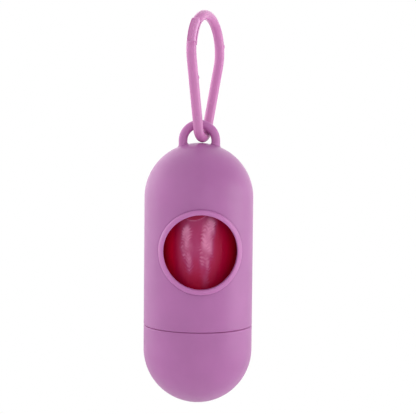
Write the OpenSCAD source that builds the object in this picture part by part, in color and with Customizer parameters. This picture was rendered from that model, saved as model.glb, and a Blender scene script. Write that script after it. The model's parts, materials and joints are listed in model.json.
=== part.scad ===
// Capsule dispenser for rolls of pet waste bags, with a screw cap and a moulded snap hook.
// The origin is the leash's seat: the highest point inside the hook's crown. +Z is up.
// Lengths are in millimetres. The window faces -Y.

/* [Case] */
// Outside diameter of the case and cap
case_d = 37; // [35.5:0.5:42]
// Height of the closed capsule, from the cap's bottom to the top of the dome
case_h = 88.6; // [84:0.1:110]
// Wall of the case and cap
wall = 1.5; // [1.2:0.1:1.8]
// Height of the seam above the cap's bottom
seam_z = 26.8; // [24:0.1:30]
// Gap between the closed case and cap at the seam
seam_gap = 0.15; // [0.1:0.05:0.3]
// Chamfer on each edge at the seam
seam_chamfer = 0.3; // [0.1:0.05:0.5]

/* [Window] */
// Diameter of the round window
window_d = 24.2; // [16:0.1:26]
// Height of the window's middle above the cap's bottom
window_z = 53.1; // [50:0.1:58]
// Width of the raised rim around the window
rim_w = 1.85; // [1.2:0.05:2.5]
// Height of the raised rim above the case
rim_h = 0.9; // [0.5:0.05:1.2]

/* [Eye] */
// Clear width inside the eye
eye_d = 8.1; // [7.6:0.1:10]
// Diameter of the eye's bar
eye_bar = 3; // [2.6:0.02:3.1]
// Height of the eye's centre above the top of the dome
eye_rise = 0.75; // [0.5:0.05:2]
// Width of the flare where the eye's legs meet the dome
eye_flare = 0.5; // [0.2:0.1:1]

/* [Cap thread] */
// Length of the cap's neck above the seam
neck_l = 7; // [6:0.5:9]
// Wall of the neck, inside the thread
neck_wall = 1; // [0.8:0.1:1.2]
// Wall of the case outside the thread
mouth_wall = 1.2; // [1:0.1:1.4]
// Depth of each thread ridge
thread_depth = 0.8; // [0.6:0.1:1]
// Distance between neighbouring ridges, with two starts
thread_pitch = 2.5; // [2.2:0.1:3]
// Width of a ridge at its foot
ridge_foot = 1.1; // [0.9:0.1:1.2]
// Width of a ridge at its crest
ridge_crest = 0.6; // [0.4:0.1:0.7]
// Gap between the crests and the opposite wall
thread_gap = 0.3; // [0.2:0.05:0.35]

/* [Hook] */
// Diameter of the hook's bar
hook_bar = 3.22; // [2.9:0.02:3.3]
// Radius of the crown, to the middle of the bar
crown_r = 12.2; // [10:0.1:16]
// Radius of the bend in the eye, to the middle of the bar
bend_r = 3.9; // [3.8:0.05:5]
// Distance between the centres of the crown and the bend
hook_reach = 25.3; // [22:0.1:34]
// Turn of the hook's plane from the eye's plane, in degrees
hook_turn = 64; // [60:1:90]
// Lean of the hook within its own plane, in degrees
hook_lean = 4.5; // [0:0.5:8]
// Distance of the hook from the case's middle, along the eye
hook_side = 1.1; // [0:0.05:1.2]
// Gap between the hook's bend and the top of the dome
hook_gap = 0.25; // [0.15:0.05:0.4]

/* [Gate] */
// Distance of the flexure above the bend's centre, along the hook
flex_rise = 5.6; // [4.5:0.1:8]
// Running gap around the flexure's knuckle
flex_gap = 0.08; // [0.05:0.01:0.1]
// Angle above the crown's middle at which the lap starts
lap_low = 5; // [3:1:15]
// Angle above the crown's middle at which the gate's tongue ends
lap_high = 45; // [35:1:55]
// Gap between the tongue and the nose
lap_gap = 0.15; // [0.1:0.05:0.25]
// Height of the tongue above the crown's outer surface
tongue_rise = 0.2; // [0:0.05:0.4]
// Chamfer along the tongue's edges
tongue_chamfer = 0.45; // [0.2:0.05:0.7]

/* [Roll] */
// Gap between the full roll and the neck's bore, which it drops through
roll_fit = 0.7; // [0.4:0.05:3]
// Length of the roll
roll_l = 62; // [55:0.5:63]
// Outside diameter of the cardboard core
core_d = 13; // [11:0.5:16]
// Wall of the cardboard core
core_wall = 1; // [0.6:0.1:1.5]
// Gap between the core and the first bag
core_gap = 0.05; // [0.03:0.01:0.1]
// Gap between one bag and the next
bag_gap = 0.02; // [0.01:0.01:0.04]
// Gap between the roll's edge and the cap it stands on
roll_gap = 0.3; // [0.2:0.05:0.5]

/* [Hidden] */
// Bags on a full roll
bag_count = 15;
function bag_name(i) = str("bag_", i < 10 ? "0" : "", i);
SHELLS = ["case_body", "end_cap", "snap_hook", "hook_gate", "roll_core"];

$fn = 96;
// How far one solid is sunk into its own body before they are joined
bite = 0.2;
// How much thinner a straight bar is than the arc that it runs into
slim = 0.02;
// How far a cut runs past the surface it opens
past = 1;
// How far the cone that shapes a chamfer runs past the chamfer
sliver = 0.002;

case_colour = [0.70, 0.45, 0.67];
hook_colour = [0.80, 0.50, 0.75];
card_colour = [0.72, 0.62, 0.50];
bag_colour = [0.62, 0.10, 0.30];

// Case and cap: two half spheres on one cylinder
case_r = case_d / 2;
inner_r = case_r - wall;
cap_z = case_r;
dome_z = case_h - case_r;

// Thread, from the case's bore inwards
mouth_r = case_r - mouth_wall;
male_crest_r = mouth_r - thread_gap;
neck_r = male_crest_r - thread_depth;
female_crest_r = neck_r + thread_gap;
neck_bore_r = neck_r - neck_wall;
thread_starts = 2;
thread_lead = thread_pitch * thread_starts;
neck_top = seam_z + neck_l;
// The case's mouth is bored this far past the top of the neck
mouth_run = 1;
mouth_top = neck_top + mouth_run;
// The ridges stay this far inside the ends of the neck and of the mouth
ridge_inset = 0.9;
ridge_run = neck_l - 2 * ridge_inset;
ridge_steps = 48;
// Thickness of the cap's shoulder under the neck
shoulder = 2;

// Window and rim
window_r = window_d / 2;
rim_r = window_r + rim_w;
// The rim is rounded in steps: [share of its height, inset at each side as a share of its width]
rim_steps = [[0.5, 0], [0.78, 0.07], [0.93, 0.17], [1, 0.3]];

// Eye
eye_r = (eye_d + eye_bar) / 2;
eye_z = case_h + eye_rise;
// The legs start at the dome's inner surface, and their flare ends just above the outer one
eye_foot_z = dome_z + sqrt(pow(inner_r, 2) - pow(eye_r, 2));
eye_flare_h = dome_z + sqrt(pow(case_r, 2) - pow(eye_r, 2)) + eye_flare - eye_foot_z;
flare_slope = 0.5;

// Hook, drawn in its own plane: X across it, Z along it, the bend's centre at the origin
bar_r = hook_bar / 2;
taper = asin((crown_r - bend_r) / hook_reach);
arm_l = hook_reach * cos(taper);
dome_top_at_hook = dome_z + sqrt(pow(case_r, 2) - pow(hook_side, 2));
bend_z = dome_top_at_hook + hook_gap + bar_r + bend_r;
crown_across = hook_reach * sin(hook_lean);
seat = [
  hook_side + crown_across * cos(hook_turn),
  crown_across * sin(hook_turn),
  bend_z + hook_reach * cos(hook_lean) + crown_r - bar_r
];
// Distance along the arm from the bend's tangent point to the flexure
flex_l = (flex_rise + bend_r * sin(taper)) / cos(taper);

// Roll
roll_r = neck_bore_r - roll_fit;
core_r = core_d / 2;
first_r = core_r + core_gap;
film_area = (pow(roll_r, 2) - pow(first_r, 2)) / bag_count;
// The roll's lower edge stands on the cap's bowl
roll_z = cap_z - sqrt(pow(inner_r, 2) - pow(roll_r, 2)) + roll_gap;
function bag_r(i) = sqrt(pow(first_r, 2) + i * film_area);

// Everything is drawn on the case's axis, from the cap's bottom up, and moved to the seat at once
module on_seat() {
  translate(-seat) children();
}

module capsule(r, z_low, z_high) {
  translate([0, 0, z_low]) cylinder(r = r, h = z_high - z_low);
  translate([0, 0, z_low]) sphere(r = r);
  translate([0, 0, z_high]) sphere(r = r);
}

module above(z) {
  translate([-case_d, -case_d, z]) cube([2 * case_d, 2 * case_d, 2 * case_h]);
}

module below(z) {
  translate([-case_d, -case_d, z - 2 * case_h]) cube([2 * case_d, 2 * case_d, 2 * case_h]);
}

// One ridge of the thread: a trapezoid swept along a right-hand helix
function ridge_ring(k, foot, crest, z_start) =
  let (share = k / ridge_steps)
  let (z = z_start + share * ridge_run)
  let (a = 360 * share * ridge_run / thread_lead)
  [for (p = [[foot, -ridge_foot], [crest, -ridge_crest], [crest, ridge_crest], [foot, ridge_foot]])
    [p[0] * cos(a), p[0] * sin(a), z + p[1] / 2]];

module ridge(foot, crest, z_start) {
  points = [for (k = [0:ridge_steps]) each ridge_ring(k, foot, crest, z_start)];
  last = 4 * ridge_steps;
  inward = crest < foot;
  sides = [for (k = [0:ridge_steps - 1]) for (j = [0:3])
    let (a = 4 * k + j)
    let (b = 4 * k + (j + 1) % 4)
    inward ? [a, a + 4, b + 4, b] : [a, b, b + 4, a + 4]];
  ends = inward
    ? [[0, 1, 2, 3], [last + 3, last + 2, last + 1, last]]
    : [[3, 2, 1, 0], [last, last + 1, last + 2, last + 3]];
  polyhedron(points = points, faces = concat(sides, ends));
}

module thread(foot, crest, z_start) {
  for (s = [0:thread_starts - 1])
    rotate([0, 0, s * 360 / thread_starts]) ridge(foot, crest, z_start);
}

// A round bore or rod along Y, towards the window's side
module towards_window(r, far) {
  translate([0, 0, window_z]) rotate([90, 0, 0]) cylinder(r = r, h = far);
}

module window_rim() {
  for (s = rim_steps)
    intersection() {
      translate([0, 0, window_z - case_r]) cylinder(r = case_r + s[0] * rim_h, h = case_d);
      difference() {
        towards_window(rim_r - s[1] * rim_w, case_d);
        towards_window(window_r + s[1] * rim_w, case_d + past);
        towards_window(rim_r + past, inner_r / 2);
      }
    }
}

module eye() {
  translate([0, 0, eye_z]) rotate([90, 0, 0])
    rotate_extrude(angle = 180) translate([eye_r, 0]) circle(d = eye_bar, $fn = 48);
  for (side = [-1, 1])
    translate([side * eye_r, 0, eye_foot_z]) {
      cylinder(d = eye_bar - 2 * slim, h = eye_z - eye_foot_z + bite, $fn = 48);
      cylinder(
        d1 = eye_bar + 2 * flare_slope * eye_flare_h, d2 = eye_bar, h = eye_flare_h, $fn = 48
      );
    }
}

module seam_edge(z, up) {
  translate([0, 0, z]) mirror([0, 0, up ? 0 : 1])
    difference() {
      translate([0, 0, -past]) cylinder(r = case_r + past, h = seam_chamfer + past);
      translate([0, 0, -past]) cylinder(r = case_r - seam_chamfer, h = past + bite);
      cylinder(r1 = case_r - seam_chamfer, r2 = case_r, h = seam_chamfer + sliver);
    }
}

module case_body() {
  color(case_colour) on_seat() {
    difference() {
      union() {
        difference() {
          capsule(case_r, cap_z, dome_z);
          below(seam_z);
          seam_edge(seam_z, true);
        }
        eye();
        window_rim();
      }
      capsule(inner_r, cap_z, dome_z);
      translate([0, 0, seam_z - past]) cylinder(r = mouth_r, h = mouth_top - seam_z + past);
      towards_window(window_r, case_d);
    }
    thread(mouth_r + bite, female_crest_r, seam_z + ridge_inset + thread_pitch / 2);
  }
}

module end_cap() {
  cap_top = seam_z - seam_gap;
  color(case_colour) on_seat() {
    difference() {
      capsule(case_r, cap_z, dome_z);
      above(cap_top);
      seam_edge(cap_top, false);
      difference() {
        capsule(inner_r, cap_z, dome_z);
        above(cap_top - shoulder - (inner_r - neck_bore_r));
      }
      translate([0, 0, cap_top - shoulder - (inner_r - neck_bore_r)])
        cylinder(r1 = inner_r, r2 = neck_bore_r, h = inner_r - neck_bore_r);
      translate([0, 0, cap_z]) cylinder(r = neck_bore_r, h = case_h);
    }
    difference() {
      translate([0, 0, cap_top - bite]) cylinder(r = neck_r, h = neck_top - cap_top + bite);
      cylinder(r = neck_bore_r, h = case_h);
    }
    thread(neck_r - bite, male_crest_r, seam_z + ridge_inset);
  }
}

// Puts what is drawn in the hook's plane into the eye
module in_eye() {
  on_seat() translate([hook_side, 0, bend_z])
    rotate([0, 0, hook_turn]) rotate([0, hook_lean, 0]) children();
}

// An arc of the bar in the hook's plane, from one angle to another, counted from +X towards +Z
module bar_arc(r, from, to) {
  rotate([90, 0, 0]) rotate([0, 0, from])
    rotate_extrude(angle = to - from) translate([r, 0]) circle(r = bar_r, $fn = 48);
}

// A straight arm, from the bend's tangent point; side is -1 for the gate's arm
module arm(side, from, to) {
  translate([side * bend_r * cos(taper), 0, -bend_r * sin(taper)])
    rotate([0, side * taper, 0]) translate([0, 0, from])
    cylinder(r = bar_r - slim, h = to - from, $fn = 48);
}

// Puts what is drawn at the flexure, with Z along the gate's arm
module at_flexure() {
  translate([-bend_r * cos(taper), 0, -bend_r * sin(taper)])
    rotate([0, -taper, 0]) translate([0, 0, flex_l]) children();
}

// The flexure's round knuckle across the gate's arm
module knuckle(r) {
  rotate([90, 0, 0]) cylinder(r = r, h = 2 * hook_bar, center = true);
}

// A ring sector around the crown's centre, with its section given as a polygon
module crown_sector(section, from, to) {
  translate([0, 0, hook_reach]) rotate([90, 0, 0]) rotate([0, 0, from])
    rotate_extrude(angle = to - from) polygon(section);
}

// The outer half of the crown's bar, cut away where the tongue lies
function outer_half(low, high) = [
  [low, -hook_bar], [high, -hook_bar], [high, hook_bar], [low, hook_bar]
];

// The gate's tongue: the outer half of the bar, squared up, with chamfered edges
function tongue_section(low, high, half) = [
  [low, -half],
  [high - tongue_chamfer, -half],
  [high, -half + tongue_chamfer],
  [high, half - tongue_chamfer],
  [high - tongue_chamfer, half],
  [low, half]
];

// The angle that a gap takes on the crown's middle circle
lap_gap_angle = lap_gap / crown_r * 180 / PI;

module snap_hook() {
  color(hook_colour) in_eye() {
    difference() {
      union() {
        bar_arc(bend_r, 180 + taper, 360 - taper);
        arm(-1, -bite, flex_l);
        arm(1, -bite, arm_l + bite);
        translate([0, 0, hook_reach]) bar_arc(crown_r, -taper, 180 - lap_low - lap_gap_angle);
      }
      at_flexure() knuckle(bar_r + flex_gap);
      crown_sector(
        outer_half(crown_r, crown_r + hook_bar),
        180 - lap_high - 2 * lap_gap_angle,
        180 - lap_low + lap_gap_angle
      );
    }
  }
}

module hook_gate() {
  color(hook_colour) in_eye() {
    difference() {
      arm(-1, flex_l - hook_bar, arm_l + bite);
      at_flexure() difference() {
        translate([-hook_bar, -hook_bar, -2 * hook_bar]) cube(2 * hook_bar);
        knuckle(bar_r);
      }
    }
    translate([0, 0, hook_reach]) bar_arc(crown_r, 180 - lap_low, 180 + taper);
    crown_sector(
      tongue_section(crown_r + lap_gap, crown_r + bar_r + tongue_rise, bar_r - tongue_rise / 2),
      180 - lap_high,
      180 - lap_low + lap_gap_angle
    );
  }
}

module roll_core() {
  color(card_colour) on_seat() translate([0, 0, roll_z])
    difference() {
      cylinder(r = core_r, h = roll_l);
      translate([0, 0, -past]) cylinder(r = core_r - core_wall, h = roll_l + 2 * past);
    }
}

// One wound bag: a tube between the bag before it and the bag after it
module bag(i) {
  color(bag_colour) on_seat() translate([0, 0, roll_z])
    difference() {
      cylinder(r = bag_r(i) - (i < bag_count ? bag_gap : 0), h = roll_l);
      translate([0, 0, -past]) cylinder(r = bag_r(i - 1), h = roll_l + 2 * past);
    }
}

case_body();
end_cap();
snap_hook();
hook_gate();
roll_core();
for (i = [1:bag_count])
  bag(i);
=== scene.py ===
import json
import math

import bmesh
import bpy
import numpy as np
from mathutils import Matrix, Vector, noise


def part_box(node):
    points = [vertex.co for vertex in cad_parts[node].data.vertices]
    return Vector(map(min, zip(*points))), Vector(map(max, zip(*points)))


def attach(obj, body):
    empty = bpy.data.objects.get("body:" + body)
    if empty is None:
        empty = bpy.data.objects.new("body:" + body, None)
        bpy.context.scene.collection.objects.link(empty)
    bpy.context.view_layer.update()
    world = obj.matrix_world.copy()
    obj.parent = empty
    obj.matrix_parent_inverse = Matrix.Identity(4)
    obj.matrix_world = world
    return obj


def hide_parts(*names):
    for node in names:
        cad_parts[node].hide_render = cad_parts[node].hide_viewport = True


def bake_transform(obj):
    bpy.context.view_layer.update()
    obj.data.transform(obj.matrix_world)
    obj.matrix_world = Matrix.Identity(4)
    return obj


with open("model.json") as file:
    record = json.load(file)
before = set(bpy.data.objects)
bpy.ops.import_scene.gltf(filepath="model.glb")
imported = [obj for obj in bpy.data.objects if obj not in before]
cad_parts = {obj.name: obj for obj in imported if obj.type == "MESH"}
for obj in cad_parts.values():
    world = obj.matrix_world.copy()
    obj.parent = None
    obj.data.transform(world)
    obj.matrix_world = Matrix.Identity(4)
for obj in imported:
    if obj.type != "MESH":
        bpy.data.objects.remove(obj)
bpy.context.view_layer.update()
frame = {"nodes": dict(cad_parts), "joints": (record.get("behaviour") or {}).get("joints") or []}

MM = 0.001
# Points nearer than this, in metres, become one
MERGE_WITHIN = 1e-7

# ---------------------------------------------------------------- places from the frame
JOINTS = {j["name"]: j for j in frame["joints"]}
cap_low, cap_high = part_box("end_cap")
roll_low, roll_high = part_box("bag_15")
AXIS = np.array([(cap_low.x + cap_high.x) / 2, (cap_low.y + cap_high.y) / 2, cap_low.z])
BEND_CENTRE = np.array(JOINTS["case_swing"]["pos_m"])
HOOK_NORMAL = np.array(JOINTS["case_swing"]["axis"])

# ---------------------------------------------------------------- sizes
# As in the CAD source, but for WINDOW_R, which is 0.1 larger, and RIM_W, which is 0.17 smaller
CASE_R = 18.5
INNER_R = 17.0
CAP_Z = 18.5
DOME_Z = 70.1
SEAM_Z = 26.8
SEAM_GAP = 0.15
MOUTH_R = 17.3
MOUTH_TOP = 34.8
NECK_R = 16.2
NECK_BORE_R = 15.2
NECK_TOP = 33.8
SHOULDER = 2.0
THREAD_LEAD = 5.0
THREAD_PITCH = 2.5
RIDGE_RUN = 5.2
RIDGE_INSET = 0.9
RIDGE_FOOT = 1.1
RIDGE_CREST = 0.6
MALE_CREST_R = 17.0
FEMALE_CREST_R = 16.5
WINDOW_Z = 53.1
WINDOW_R = 12.2
RIM_W = 1.68
RIM_H = 0.9
EYE_R = 5.55
EYE_BAR_R = 1.5
EYE_Z = 89.35
HOOK_BAR_R = 1.61
CROWN_R = 12.2
BEND_R = 3.9
HOOK_REACH = 25.3
TAPER = math.asin((CROWN_R - BEND_R) / HOOK_REACH)
LAP_LOW = math.radians(175)
LAP_HIGH = math.radians(135)
LAP_GAP = 0.15
ROLL_R = 14.5
ROLL_LOW = (roll_low.z - AXIS[2]) / MM
ROLL_HIGH = (roll_high.z - AXIS[2]) / MM

# ---------------------------------------------------------------- camera
TARGET = np.array([0.0, 0.0, 67.0])
CAMERA_DISTANCE = 380.0
CAMERA_AZIMUTH = math.radians(-2.65)
CAMERA_ELEVATION = math.radians(3.723)
CAMERA_ROLL = math.radians(0.529)
CAMERA_LENS = 96.63
CAMERA_SHIFT = (0.0221, -0.0015)


def to_frame(points):
    return np.asarray(points, float) * MM + AXIS


def make_camera():
    az, el = CAMERA_AZIMUTH, CAMERA_ELEVATION
    back = np.array([math.sin(az) * math.cos(el), -math.cos(az) * math.cos(el), math.sin(el)])
    right = np.array([math.cos(az), math.sin(az), 0.0])
    up = np.cross(back, right)
    c, s = math.cos(CAMERA_ROLL), math.sin(CAMERA_ROLL)
    right, up = c * right + s * up, -s * right + c * up
    place = to_frame(TARGET) + back * CAMERA_DISTANCE * MM
    data = bpy.data.cameras.new("camera")
    data.lens = CAMERA_LENS
    data.sensor_width = 36.0
    data.shift_x, data.shift_y = CAMERA_SHIFT
    data.clip_start = 0.01
    data.clip_end = 10.0
    camera = bpy.data.objects.new("camera", data)
    rows = [[right[i], up[i], back[i], place[i]] for i in range(3)] + [[0, 0, 0, 1]]
    camera.matrix_world = Matrix(rows)
    bpy.context.scene.collection.objects.link(camera)
    bpy.context.scene.camera = camera


make_camera()


# ---------------------------------------------------------------- mesh helpers
class Skin:
    """Points and faces of one mesh."""

    def __init__(self):
        self.blocks = []
        self.count = 0
        self.faces = []

    def add(self, points):
        """Adds points of any grid shape and gives back their numbers in the same shape."""
        points = np.asarray(points, float)
        flat = points.reshape(-1, 3)
        ids = np.arange(self.count, self.count + len(flat)).reshape(points.shape[:-1])
        self.blocks.append(flat)
        self.count += len(flat)
        return ids

    def quads(self, ids, wrap=False):
        """Faces between the rows of a grid of point numbers; wrap joins each row's ends."""
        if wrap:
            ids = np.concatenate([ids, ids[:, :1]], axis=1)
        a, b, c, d = ids[:-1, :-1], ids[:-1, 1:], ids[1:, 1:], ids[1:, :-1]
        self.faces += np.stack([a, b, c, d], axis=-1).reshape(-1, 4).tolist()

    def fan(self, ring, tip):
        """Triangles from a closed ring to one point."""
        n = len(ring)
        self.faces += [[int(ring[i]), int(ring[(i + 1) % n]), int(tip)] for i in range(n)]

    def points(self):
        return np.concatenate(self.blocks)

    def piece(self, name, place=to_frame, smooth_angle=40.0, shade=None):
        """Makes the object, with outward faces, in the CAD's frame.

        shade is one value per point, which the materials read as an attribute. It places painted
        light on the plastic, and milk, painted sheen and painted glow on the film."""
        mesh = bpy.data.meshes.new(name)
        mesh.from_pydata(place(self.points()).tolist(), [], self.faces)
        if shade is not None:
            made = mesh.attributes.new("shade", "FLOAT", "POINT")
            made.data.foreach_set("value", np.asarray(shade, np.float32))
        bm = bmesh.new()
        bm.from_mesh(mesh)
        loose = [v for v in bm.verts if not v.link_faces]
        bmesh.ops.delete(bm, geom=loose, context="VERTS")
        bmesh.ops.remove_doubles(bm, verts=bm.verts, dist=MERGE_WITHIN)
        bmesh.ops.recalc_face_normals(bm, faces=bm.faces)
        limit = math.radians(smooth_angle)
        for edge in bm.edges:
            if len(edge.link_faces) == 2 and edge.calc_face_angle(0.0) > limit:
                edge.smooth = False
        open_edges = sum(1 for edge in bm.edges if len(edge.link_faces) != 2)
        print(f"{name}: {len(bm.verts)} points, {len(bm.faces)} faces, {open_edges} open edges")
        bm.to_mesh(mesh)
        bm.free()
        mesh.polygons.foreach_set("use_smooth", [True] * len(mesh.polygons))
        made = bpy.data.objects.new(name, mesh)
        bpy.context.scene.collection.objects.link(made)
        return made


def round_profile(points, steps=5):
    """Rounds the corners of an open profile. Each point is (radius, height, corner radius)."""
    out = []
    count = len(points)
    for i, (x, z, r) in enumerate(points):
        p = np.array([x, z])
        if r <= 0 or i in (0, count - 1):
            out.append(p)
            continue
        before = np.array(points[i - 1][:2]) - p
        after = np.array(points[i + 1][:2]) - p
        a = before / np.linalg.norm(before)
        b = after / np.linalg.norm(after)
        half = math.acos(max(-1.0, min(1.0, float(a @ b)))) / 2
        reach = min(r / math.tan(half), 0.49 * np.linalg.norm(before), 0.49 * np.linalg.norm(after))
        start, end = p + a * reach, p + b * reach
        for k in range(steps + 1):
            t = k / steps
            out.append((1 - t) ** 2 * start + 2 * t * (1 - t) * p + t * t * end)
    return np.array(out)


COLUMNS = 192
# Turn of each column from the window's side, -Y, towards +X
COLUMN_ANGLES = -math.pi + 2 * math.pi * np.arange(COLUMNS) / COLUMNS


def cylinder_point(radius, turn, z):
    return np.stack([radius * np.sin(turn), -radius * np.cos(turn), z], axis=-1)


def ring_points(radius, z):
    return cylinder_point(radius, COLUMN_ANGLES, np.full(COLUMNS, float(z)))


def revolve(skin, profile):
    """Rings of an open profile of (radius, height); a radius of 0 closes to one point."""
    rows = []
    for radius, z in profile:
        rows.append(None if radius < 1e-6 else skin.add(ring_points(radius, z)))
    for i, (radius, z) in enumerate(profile):
        if rows[i] is None:
            tip = int(skin.add(np.array([[0.0, 0.0, z]]))[0])
            near = rows[i + 1] if i == 0 else rows[i - 1]
            skin.fan(near, tip)
    for a, b in zip(rows[:-1], rows[1:]):
        if a is not None and b is not None:
            skin.quads(np.stack([a, b]), wrap=True)
    return rows


def sphere_profile(radius, centre_z, low, high, steps):
    """Profile of a ball between two latitudes, in radians."""
    a = np.linspace(low, high, steps)
    return np.stack([radius * np.cos(a), centre_z + radius * np.sin(a)], axis=-1)


# ---------------------------------------------------------------- screw thread ridges
RIDGE_STEPS = 120
RIDGE_SINK = 0.2
RUN_OUT = 0.07


def thread_ridges(skin, wall_r, crest_r, z_start):
    """Two rounded helical ridges sunk into a wall, fading out at their ends."""
    for start in range(2):
        rings = []
        for k in range(RIDGE_STEPS + 1):
            share = k / RIDGE_STEPS
            fade = min(1.0, share / RUN_OUT, (1 - share) / RUN_OUT)
            fade = math.sin(fade * math.pi / 2)
            a = 2 * math.pi * share * RIDGE_RUN / THREAD_LEAD + start * math.pi
            z = z_start + share * RIDGE_RUN
            height = (crest_r - wall_r) * fade
            sink = -RIDGE_SINK if crest_r > wall_r else RIDGE_SINK
            section = [
                (wall_r + sink, -RIDGE_FOOT / 2),
                (wall_r + height * 0.05, -RIDGE_FOOT / 2),
                (wall_r + height * 0.85, -RIDGE_CREST / 2 - 0.06),
                (wall_r + height, -RIDGE_CREST / 2 + 0.1),
                (wall_r + height, RIDGE_CREST / 2 - 0.1),
                (wall_r + height * 0.85, RIDGE_CREST / 2 + 0.06),
                (wall_r + height * 0.05, RIDGE_FOOT / 2),
                (wall_r + sink, RIDGE_FOOT / 2),
            ]
            rings.append([(r * math.cos(a), r * math.sin(a), z + dz) for r, dz in section])
        ids = skin.add(np.array(rings))
        skin.quads(ids, wrap=True)
        skin.faces.append([int(i) for i in ids[0]])
        skin.faces.append([int(i) for i in ids[-1][::-1]])


# ---------------------------------------------------------------- case: walls with the window
PATCH_COLUMNS = (64, 128)
PATCH_LOW, PATCH_HIGH = 36.1, 70.1
PATCH_ROWS = 56
PATCH_RINGS = 12


def patch_loop(rows):
    """The patch's boundary in a grid of point numbers, all the way round."""
    first, last = PATCH_COLUMNS
    bottom = rows[0, first:last]
    right = rows[:-1, last]
    top = rows[-1, last:first:-1]
    left = rows[:0:-1, first]
    return np.concatenate([bottom, right, top, left])


def patch_turns():
    """Turn and height of each point of that boundary."""
    heights = np.linspace(PATCH_LOW, PATCH_HIGH, PATCH_ROWS + 1)
    grid_t, grid_z = np.meshgrid(COLUMN_ANGLES, heights)
    return patch_loop(grid_t), patch_loop(grid_z)


def window_patch(skin, rows, radius, foot):
    """Rings between the patch's boundary and a round foot circle; gives the foot's ring."""
    loop = patch_loop(rows)
    turn, z = patch_turns()
    direction = np.arctan2(z - WINDOW_Z, radius * turn)
    foot_x = foot * np.cos(direction)
    foot_turn = np.arcsin(foot_x / radius)
    foot_z = WINDOW_Z + foot * np.sin(direction)
    rings = [loop]
    for k in range(1, PATCH_RINGS + 1):
        t = 1 - (1 - k / PATCH_RINGS) ** 1.25
        mixed = cylinder_point(radius, turn + (foot_turn - turn) * t, z + (foot_z - z) * t)
        rings.append(skin.add(mixed))
    skin.quads(np.stack(rings), wrap=True)
    return rings[-1], direction


# Crease round the rim's foot: (distance outside the rim, height over the case)
RIM_CREASE = ((0.27, -0.015), (0.17, -0.06), (0.07, -0.07), (0.0, 0.0))
RIM_FOOT = 0.34
RIM_STEPS = 18
# Below 1, this squares up the rim's round crown
RIM_POWER = 0.85
RIM_DRAFT = 0.985


def rim_profile():
    """The rim and the window's wall: (distance from the window's middle, height over the case)."""
    out = [(WINDOW_R + RIM_W + away, height) for away, height in RIM_CREASE]
    middle, half = WINDOW_R + RIM_W / 2, RIM_W / 2
    for k in range(RIM_STEPS + 1):
        t = math.pi * k / RIM_STEPS
        x = math.copysign(abs(math.cos(t)) ** RIM_POWER, math.cos(t))
        height = RIM_FOOT + (RIM_H - RIM_FOOT) * math.sin(t) ** RIM_POWER
        out.append((middle + half * x * RIM_DRAFT, height))
    out += [(WINDOW_R, 0.1), (WINDOW_R, -0.5), (WINDOW_R, -1.1)]
    out += [(WINDOW_R + 0.03, -1.38), (WINDOW_R + 0.12, -1.5)]
    return out


def rim_ring(direction, distance, height):
    x = distance * np.cos(direction)
    y = -np.sqrt((CASE_R + height) ** 2 - x * x)
    return np.stack([x, y, WINDOW_Z + distance * np.sin(direction)], axis=-1)


# ---------------------------------------------------------------- case: dome top with the eye
LINE_STEPS = 36
TOP_PLAN_R = 12.5
FILLET = 0.75
TOP_RINGS = 14
FILLET_STEPS = 7
LEG_STEPS = 4
ARC_STEPS = 72


def dome_height(x, y):
    return DOME_Z + np.sqrt(CASE_R**2 - x * x - y * y)


def dome_top(skin, ring):
    """The dome inside its last full ring, with the eye growing from it."""
    half = COLUMNS // 2
    right_arc = np.concatenate([ring[half:], ring[:1]])
    left_arc = ring[half::-1]
    turns = np.linspace(0, math.pi, half + 1)
    arc_plan = np.stack([TOP_PLAN_R * np.sin(turns), -TOP_PLAN_R * np.cos(turns)], axis=-1)
    reach = math.atan2(TOP_PLAN_R, EYE_R)
    line_y = EYE_R * np.tan(np.linspace(reach, -reach, LINE_STEPS + 1))[1:-1]
    line = np.stack([np.zeros_like(line_y), line_y, dome_height(0 * line_y, line_y)], axis=-1)
    line_ids = skin.add(line)
    plan = np.concatenate([arc_plan, line[:, :2]])
    centre = np.array([EYE_R, 0.0])
    out = plan - centre
    far = np.linalg.norm(out, axis=1)
    direction = out / far[:, None]
    last_rings = []
    for side, arc in ((1, right_arc), (-1, left_arc)):
        rings = [np.concatenate([arc, line_ids])]
        near = EYE_BAR_R + FILLET
        for k in range(1, TOP_RINGS + 1):
            t = 1 - (1 - k / TOP_RINGS) ** 1.2
            d = far + (near - far) * t
            p = centre + direction * d[:, None]
            points = np.stack([side * p[:, 0], p[:, 1], dome_height(p[:, 0], p[:, 1])], axis=-1)
            rings.append(skin.add(points))
        step = 0.01
        p_near = centre + direction * near
        p_step = centre + direction * (near + step)
        z_near = dome_height(p_near[:, 0], p_near[:, 1])
        slope = (dome_height(p_step[:, 0], p_step[:, 1]) - z_near) / step
        z_corner = z_near - slope * FILLET
        for k in range(1, FILLET_STEPS + 1):
            t = k / FILLET_STEPS
            d = near * (1 - t) ** 2 + EYE_BAR_R * (1 - (1 - t) ** 2)
            z = z_near * (1 - t) ** 2 + 2 * t * (1 - t) * z_corner + t * t * (z_corner + FILLET)
            p = centre + direction * d
            rings.append(skin.add(np.stack([side * p[:, 0], p[:, 1], z], axis=-1)))
        for k in range(1, LEG_STEPS):
            t = k / LEG_STEPS
            z = (z_corner + FILLET) * (1 - t) + EYE_Z * t
            p = centre + direction * EYE_BAR_R
            rings.append(skin.add(np.stack([side * p[:, 0], p[:, 1], z], axis=-1)))
        skin.quads(np.stack(rings), wrap=True)
        last_rings.append(rings[-1])
    rings = [last_rings[0]]
    for k in range(ARC_STEPS + 1):
        a = math.pi * k / ARC_STEPS
        rho = EYE_R + EYE_BAR_R * direction[:, 0]
        arc = [rho * math.cos(a), EYE_BAR_R * direction[:, 1], EYE_Z + rho * math.sin(a)]
        rings.append(skin.add(np.stack(arc, axis=-1)))
    rings.append(last_rings[1])
    skin.quads(np.stack(rings), wrap=True)


def smooth_step(x):
    x = np.clip(x, 0, 1)
    return x * x * (3 - 2 * x)


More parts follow.
